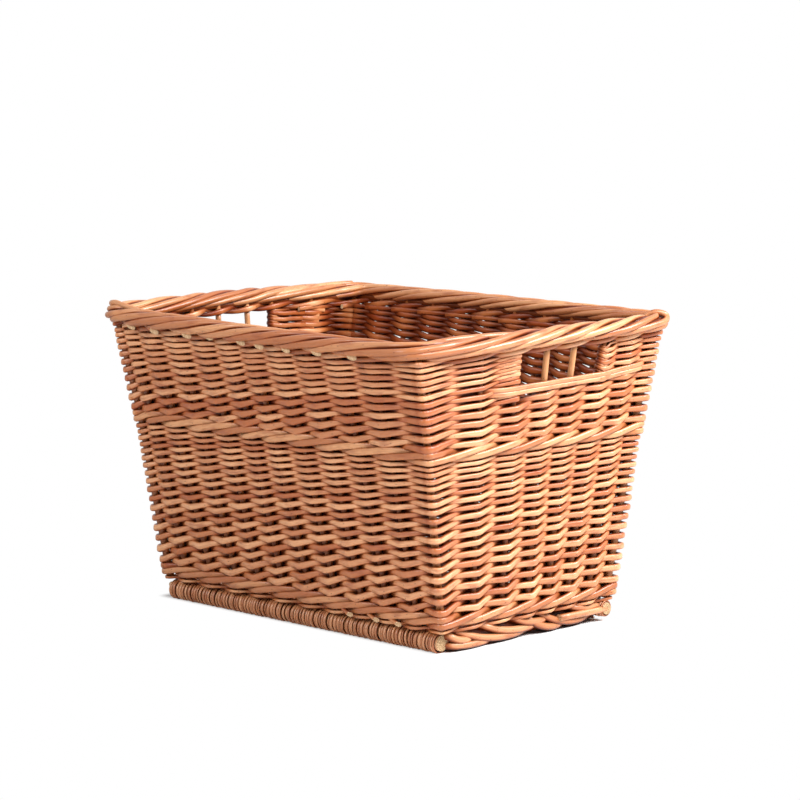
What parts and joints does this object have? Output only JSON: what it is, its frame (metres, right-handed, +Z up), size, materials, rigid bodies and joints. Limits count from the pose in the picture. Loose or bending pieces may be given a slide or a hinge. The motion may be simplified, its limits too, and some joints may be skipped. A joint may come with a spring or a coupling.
{
  "type": "wicker storage basket",
  "caption": "Tapered rectangular willow storage basket with slanting woven sides, waled bands, a rolled rod border and a hand hole in each short side.",
  "frame": {"origin": "on the floor, at the middle of the foot", "axes": "+X along the long sides, towards the short side nearer the viewer's right in the picture; +Y across the basket; +Z up, towards the border"},
  "size_m": [0.4596, 0.3702, 0.2991],
  "materials": {
    "stake_willow": "Peeled willow stake, straight and round, satin",
    "weaver_willow": "Buff willow weaver, thin tapering rod, satin",
    "wale_willow": "Buff willow rod of the wales, satin",
    "border_willow": "Buff willow rod of the border, satin",
    "base_willow": "Buff willow weaver of the base and foot bindings, satin",
    "stick_willow": "Thick willow stick with pale cut ends, matt"
  },
  "bodies": {
    "root": {"foot_stick_front": "stick_willow", "foot_binding_front": "base_willow", "foot_stick_back": "stick_willow", "foot_binding_back": "base_willow", "foot_border_right": "wale_willow", "foot_border_left": "wale_willow", "base_weave": "base_willow", "base_stick_1": "stick_willow", "base_stick_2": "stick_willow", "base_stick_3": "stick_willow", "base_stick_4": "stick_willow", "base_stick_5": "stick_willow", "stake_front_1": "stake_willow", "stake_front_2": "stake_willow", "stake_front_3": "stake_willow", "stake_front_4": "stake_willow", "stake_front_5": "stake_willow", "stake_front_6": "stake_willow", "stake_front_7": "stake_willow", "stake_front_8": "stake_willow", "stake_front_9": "stake_willow", "stake_front_10": "stake_willow", "stake_right_1": "stake_willow", "stake_right_2": "stake_willow", "stake_right_3": "stake_willow", "stake_right_4": "stake_willow", "stake_right_5": "stake_willow", "stake_right_6": "stake_willow", "stake_back_1": "stake_willow", "stake_back_2": "stake_willow", "stake_back_3": "stake_willow", "stake_back_4": "stake_willow", "stake_back_5": "stake_willow", "stake_back_6": "stake_willow", "stake_back_7": "stake_willow", "stake_back_8": "stake_willow", "stake_back_9": "stake_willow", "stake_back_10": "stake_willow", "stake_left_1": "stake_willow", "stake_left_2": "stake_willow", "stake_left_3": "stake_willow", "stake_left_4": "stake_willow", "stake_left_5": "stake_willow", "stake_left_6": "stake_willow", "corner_stake_front_right": "stake_willow", "corner_stake_back_right": "stake_willow", "corner_stake_back_left": "stake_willow", "corner_stake_front_left": "stake_willow", "lower_weave_front": "weaver_willow", "upper_weave_front": "weaver_willow", "lower_weave_right": "weaver_willow", "upper_weave_right": "weaver_willow", "lower_weave_back": "weaver_willow", "upper_weave_back": "weaver_willow", "lower_weave_left": "weaver_willow", "upper_weave_left": "weaver_willow", "upsett_wale": "wale_willow", "mid_wale": "wale_willow", "top_wale": "wale_willow", "border": "border_willow"}
  },
  "joints": []
}
